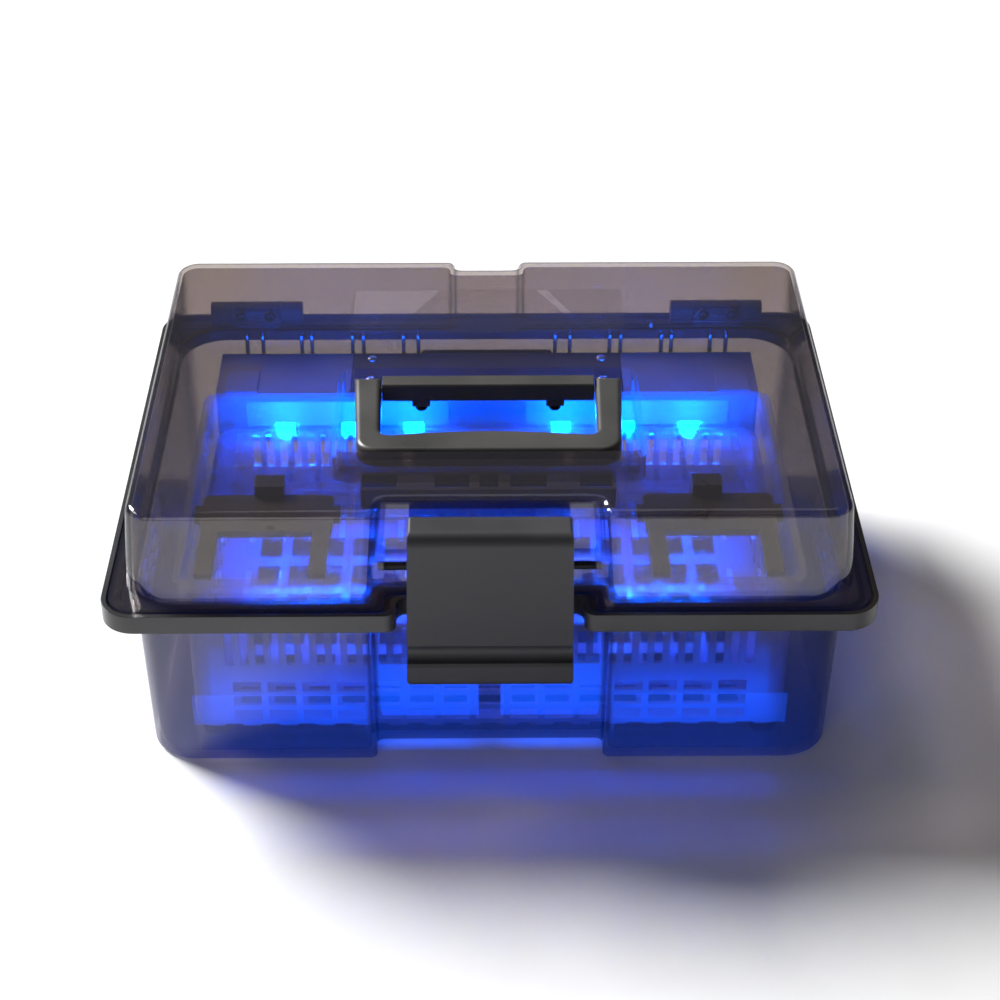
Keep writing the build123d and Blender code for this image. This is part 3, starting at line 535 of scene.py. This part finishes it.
# Profiles of turned pieces: radius and height, mm.
FOOT = [(0, 0.5), (2.2, 0.5), (3.0, 0.1), (5.6, 0.0), (6.2, 0.25), (6.44, 0.8), (6.44, 2.5), (0, 2.5)]
FOOT_PLACES = [(x, y, 0) for x in (-0.128, 0.128) for y in (-0.092, 0.092)]
stand_in(
    "feet", [turned("foot", FOOT, place, Z_AXIS) for place in FOOT_PLACES], rubber, "rubber_feet"
)

# A stem, a flange behind the panel, and a cap with a rolled edge and a dished face.
BUTTON = [
    (0, 0), (1.6, 0), (1.6, 3), (6.2, 3), (6.2, 4.2), (5.0, 4.2), (5.0, 9.8), (4.8, 10.3), (4.3, 10.6),
    (3.6, 10.5), (3.3, 10.2), (0, 9.9),
]
BUTTON_PLACE = (-0.014, 0.111, 0.066)
stand_in(
    "round_button",
    [turned("button", BUTTON, BUTTON_PLACE, Y_AXIS)],
    latch_pp,
    "power_button",
)

# A sleeved cell: rolled edges, a crimp groove near the positive end, and its nub.
CELL = [
    (0, 0), (7.6, 0), (8.5, 0.25), (9.05, 0.9), (9.05, 58.6), (8.75, 59.2), (8.75, 60.0),
    (9.05, 60.6), (9.05, 62.6), (8.6, 63.3), (7.8, 63.5), (3.0, 63.5), (2.9, 64.6), (2.5, 64.7), (0, 64.7),
]
for side, word in SIDES:
    place = (side * 0.0726, 0.098, 0.065)
    meshes = [turned("cell", CELL, place, (side, 0, 0), 64)]
    stand_in(f"cell_{word}", meshes, sleeve, f"battery_{word}")


def pin(name, node, finish=steel):
    """A drawn pin along X, as long and as thick as its CAD node, with rounded ends."""
    low, high = (np.array(corner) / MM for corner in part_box(node))
    middle = (low + high) / 2
    length, radius = high[0] - low[0], (high[2] - low[2]) / 2
    e = 0.35
    ends = [(0, 0), (radius - e, 0), (radius - 0.3 * e, 0.3 * e), (radius, e)]
    profile = ends + [(r, length - h) for r, h in reversed(ends)]
    place = (low[0] * MM, middle[1] * MM, middle[2] * MM)
    stand_in(name, [turned(name, profile, place, X_AXIS, 32)], finish, node)


for side, word in SIDES:
    pin(f"pin_hinge_{word}", f"hinge_pin_{word}")
    pin(f"pin_handle_{word}", f"handle_pin_{word}")
pin("pin_latch", "latch_pin", black_steel)

# Smoked ribs down the rear wall, in pairs; the visible edge of each is a piece of its own.
RIB_X = (36.0, 43.8, 64.8, 70.6, 92.0, 97.3, 117.7, 126.0)
RIB_HALF = np.array((0.98, 1.35)) * MM  # half the edge's width and depth
RIB_HEIGHT = 29.2


def rib_edge(x):
    """A rib's edge, mm: an upright bar whose plan is |x/a|^6 + |y/b|^6 = 1, chamfered at its ends."""
    size = np.array([0.0, 0.9, 1.0, 1.0, 0.9, 0.0])[:, None] * np.ones(2)
    level = np.array([0.0, 0.0, 0.3, RIB_HEIGHT - 0.3, RIB_HEIGHT, RIB_HEIGHT]) * MM
    place = (x * MM, 114.4 * MM, 61.9 * MM)
    return stacked("rib", squared(32, 6) * RIB_HALF, size, level, place)


rib_edges = [rib_edge(side * x) for side in (-1, 1) for x in RIB_X]
new_piece("rear_rib_edges", rib_edges, edge_smoke, "base")

LAMP_Y, LAMP_Z = 76.8, 69.0  # the front face of the lamps' packages, and the lamps' middle
DOME_SQUARE = 1.3**2  # the square of a dome's radius


def lamp_body(x):
    """A lamp, mm: a dome r^2 = 1.69 - h^2 on a square package whose plan is a superellipse."""
    h = np.linspace(1.3, 0.0, 14)
    dome = [(math.sqrt(max(DOME_SQUARE - v * v, 0.0)), v) for v in h]
    place = (x * MM, LAMP_Y * MM, LAMP_Z * MM)
    half = np.array([0.0, 1.75, 1.9, 1.9, 0.0])[:, None] * np.ones(2) * MM
    level = np.array([0.0, 0.0, -0.15, -1.4, -1.4]) * MM
    package = stacked("package", squared(48, 8), half, level, place, (0, -1, 0))
    return [turned("dome", dome, place, (0, -1, 0)), package]


lamp_places = [*(-x for x in reversed(LAMP_MM)), *LAMP_MM]
lamp_meshes = [mesh for x in lamp_places for mesh in lamp_body(x)]
stand_in("lamp_domes", lamp_meshes, lamp, "led_emitters")

# ---------------------------------------------------------------- lamps' light


def area_light(name, place, aim, size, power, colour, fan=180.0):
    """A soft light of a width and depth, turned towards a point, that isn't seen itself.

    Its light fans out over an angle of fan degrees. A depth of nothing makes it round.
    """
    data = bpy.data.lights.new(name, "AREA")
    data.shape = "RECTANGLE" if size[1] else "DISK"
    data.size = size[0]
    data.size_y = size[1] or size[0]
    data.energy = power
    data.color = colour[:3]
    data.spread = math.radians(fan)
    light = bpy.data.objects.new(name, data)
    light.location = place
    light.rotation_euler = (Vector(aim) - Vector(place)).to_track_quat("-Z", "Y").to_euler()
    light.visible_camera = False
    bpy.context.scene.collection.objects.link(light)


# Light that the clear plastic spreads about, on each side of the case: its name, its place and
# aim, its width and depth in metres, its watts and its fan in degrees.
SPREAD_LIGHT = (
    # Through the tray's floor into the basket and the tub.
    ("spill", (0.071, 0.069, 0.0605), (0.07, 0.04, 0.0), (0.12, 0.006), 1.6, 120.0),
    # Back from the tub's front wall on to the basket's bars.
    ("bounce", (0.07, -0.1145, 0.022), (0.07, 0.0, 0.03), (0.13, 0.03), 0.09, 150.0),
    # Back from the tray on to the housing's covers.
    ("back", (0.075, 0.035, 0.088), (0.07, 0.10, 0.079), (0.12, 0.03), 0.7, 110.0),
    # Up from the tray on to the lid.
    ("up", (0.075, 0.035, 0.088), (0.07, 0.0, 0.136), (0.12, 0.04), 0.12, 180.0),
)
LAMP_SPOT = (0.0712, 0.069)  # in front of the windows, level with the lamps
LAMP_AIM = (0.0, 0.050)  # the tray

for side, word in SIDES:
    for number, lamp_mm in enumerate(LAMP_MM):
        x = side * lamp_mm * MM
        spot, aim = (x, *LAMP_SPOT), (x, *LAMP_AIM)
        area_light(f"lamp_{word}_{number}", spot, aim, (0.010, 0.0), 0.5, LAMP_BLUE, 130.0)
    for name, spot, aim, size, watts, fan in SPREAD_LIGHT:
        spot, aim = (side * spot[0], *spot[1:]), (side * aim[0], *aim[1:])
        area_light(f"{name}_{word}", spot, aim, size, watts, LAMP_BLUE, fan)

# ---------------------------------------------------------------- floor, camera, studio light

FLOOR_HALF = 40.0  # far past the view, so that the floor's edge stays out of it
FLOOR_DROP = 0.0002  # keeps the floor off the feet's undersides


def floor_piece():
    """A level sheet, z = -FLOOR_DROP, far larger than the view."""
    along = np.linspace(-FLOOR_HALF, FLOOR_HALF, 13)
    u, v = np.meshgrid(along, along)
    points = np.stack([u, v, np.full_like(u, -FLOOR_DROP)], axis=-1)
    return bpy.data.objects.new("floor", surface_mesh("floor", points, False))


floor = floor_piece()
bpy.context.scene.collection.objects.link(floor)
# White laminate: even, matt, with the faintest mottle.
laminate = opaque("matt_white_laminate", ("f0f0f0", "f4f4f4"), (0.75, 0.85), 2.0, 0.005, 0.0)
floor.data.materials.append(laminate)

LENS_MM, SENSOR_MM = 77.4, 36.0
SHIFT = (0.011, -0.011)
PITCH, YAW = 0.60607, 0.00731  # how far the camera looks down, and to the right of +Y
EYE = (-0.0059, -0.8611, 0.6679)

camera_data = bpy.data.cameras.new("camera")
camera_data.sensor_width = SENSOR_MM
camera_data.lens = LENS_MM
camera_data.shift_x, camera_data.shift_y = SHIFT
camera_data.clip_start, camera_data.clip_end = 0.01, 50.0
camera = bpy.data.objects.new("camera", camera_data)
camera.location = EYE
look = Vector(
    (math.sin(YAW) * math.cos(PITCH), math.cos(YAW) * math.cos(PITCH), -math.sin(PITCH))
)
camera.rotation_euler = look.to_track_quat("-Z", "Y").to_euler()
bpy.context.scene.collection.objects.link(camera)
bpy.context.scene.camera = camera

WHITE = tone("ffffff")
SUN_DIRECTION = (0.72, -0.62, -0.68)  # from the rear left, so that the shadow falls to the right
SUN_STRENGTH, SUN_ANGLE = 6.8, 26.0
WORLD_STRENGTH = 0.05

sun_data = bpy.data.lights.new("key", "SUN")
sun_data.energy = SUN_STRENGTH
sun_data.angle = math.radians(SUN_ANGLE)
sun = bpy.data.objects.new("key", sun_data)
sun.rotation_euler = Vector(SUN_DIRECTION).to_track_quat("-Z", "Y").to_euler()
bpy.context.scene.collection.objects.link(sun)
area_light("top", (0.1, 0.7, 1.5), (0.0, 0.0, 0.1), (0.8, 0.8), 1.5, WHITE)
area_light("front_fill", (-0.5, -1.5, 0.7), (0.0, 0.0, 0.08), (0.7, 0.7), 2.2, WHITE)

world = bpy.data.worlds.new("studio")
world.use_nodes = True
backdrop = world.node_tree.nodes["Background"].inputs
backdrop["Color"].default_value = WHITE
backdrop["Strength"].default_value = WORLD_STRENGTH
bpy.context.scene.world = world

scene = bpy.context.scene
scene.view_settings.view_transform = "Standard"
scene.cycles.transparent_max_bounces = 40
scene.cycles.max_bounces = 12
scene.cycles.caustics_reflective = False
scene.cycles.caustics_refractive = False
scene.cycles.use_denoising = True
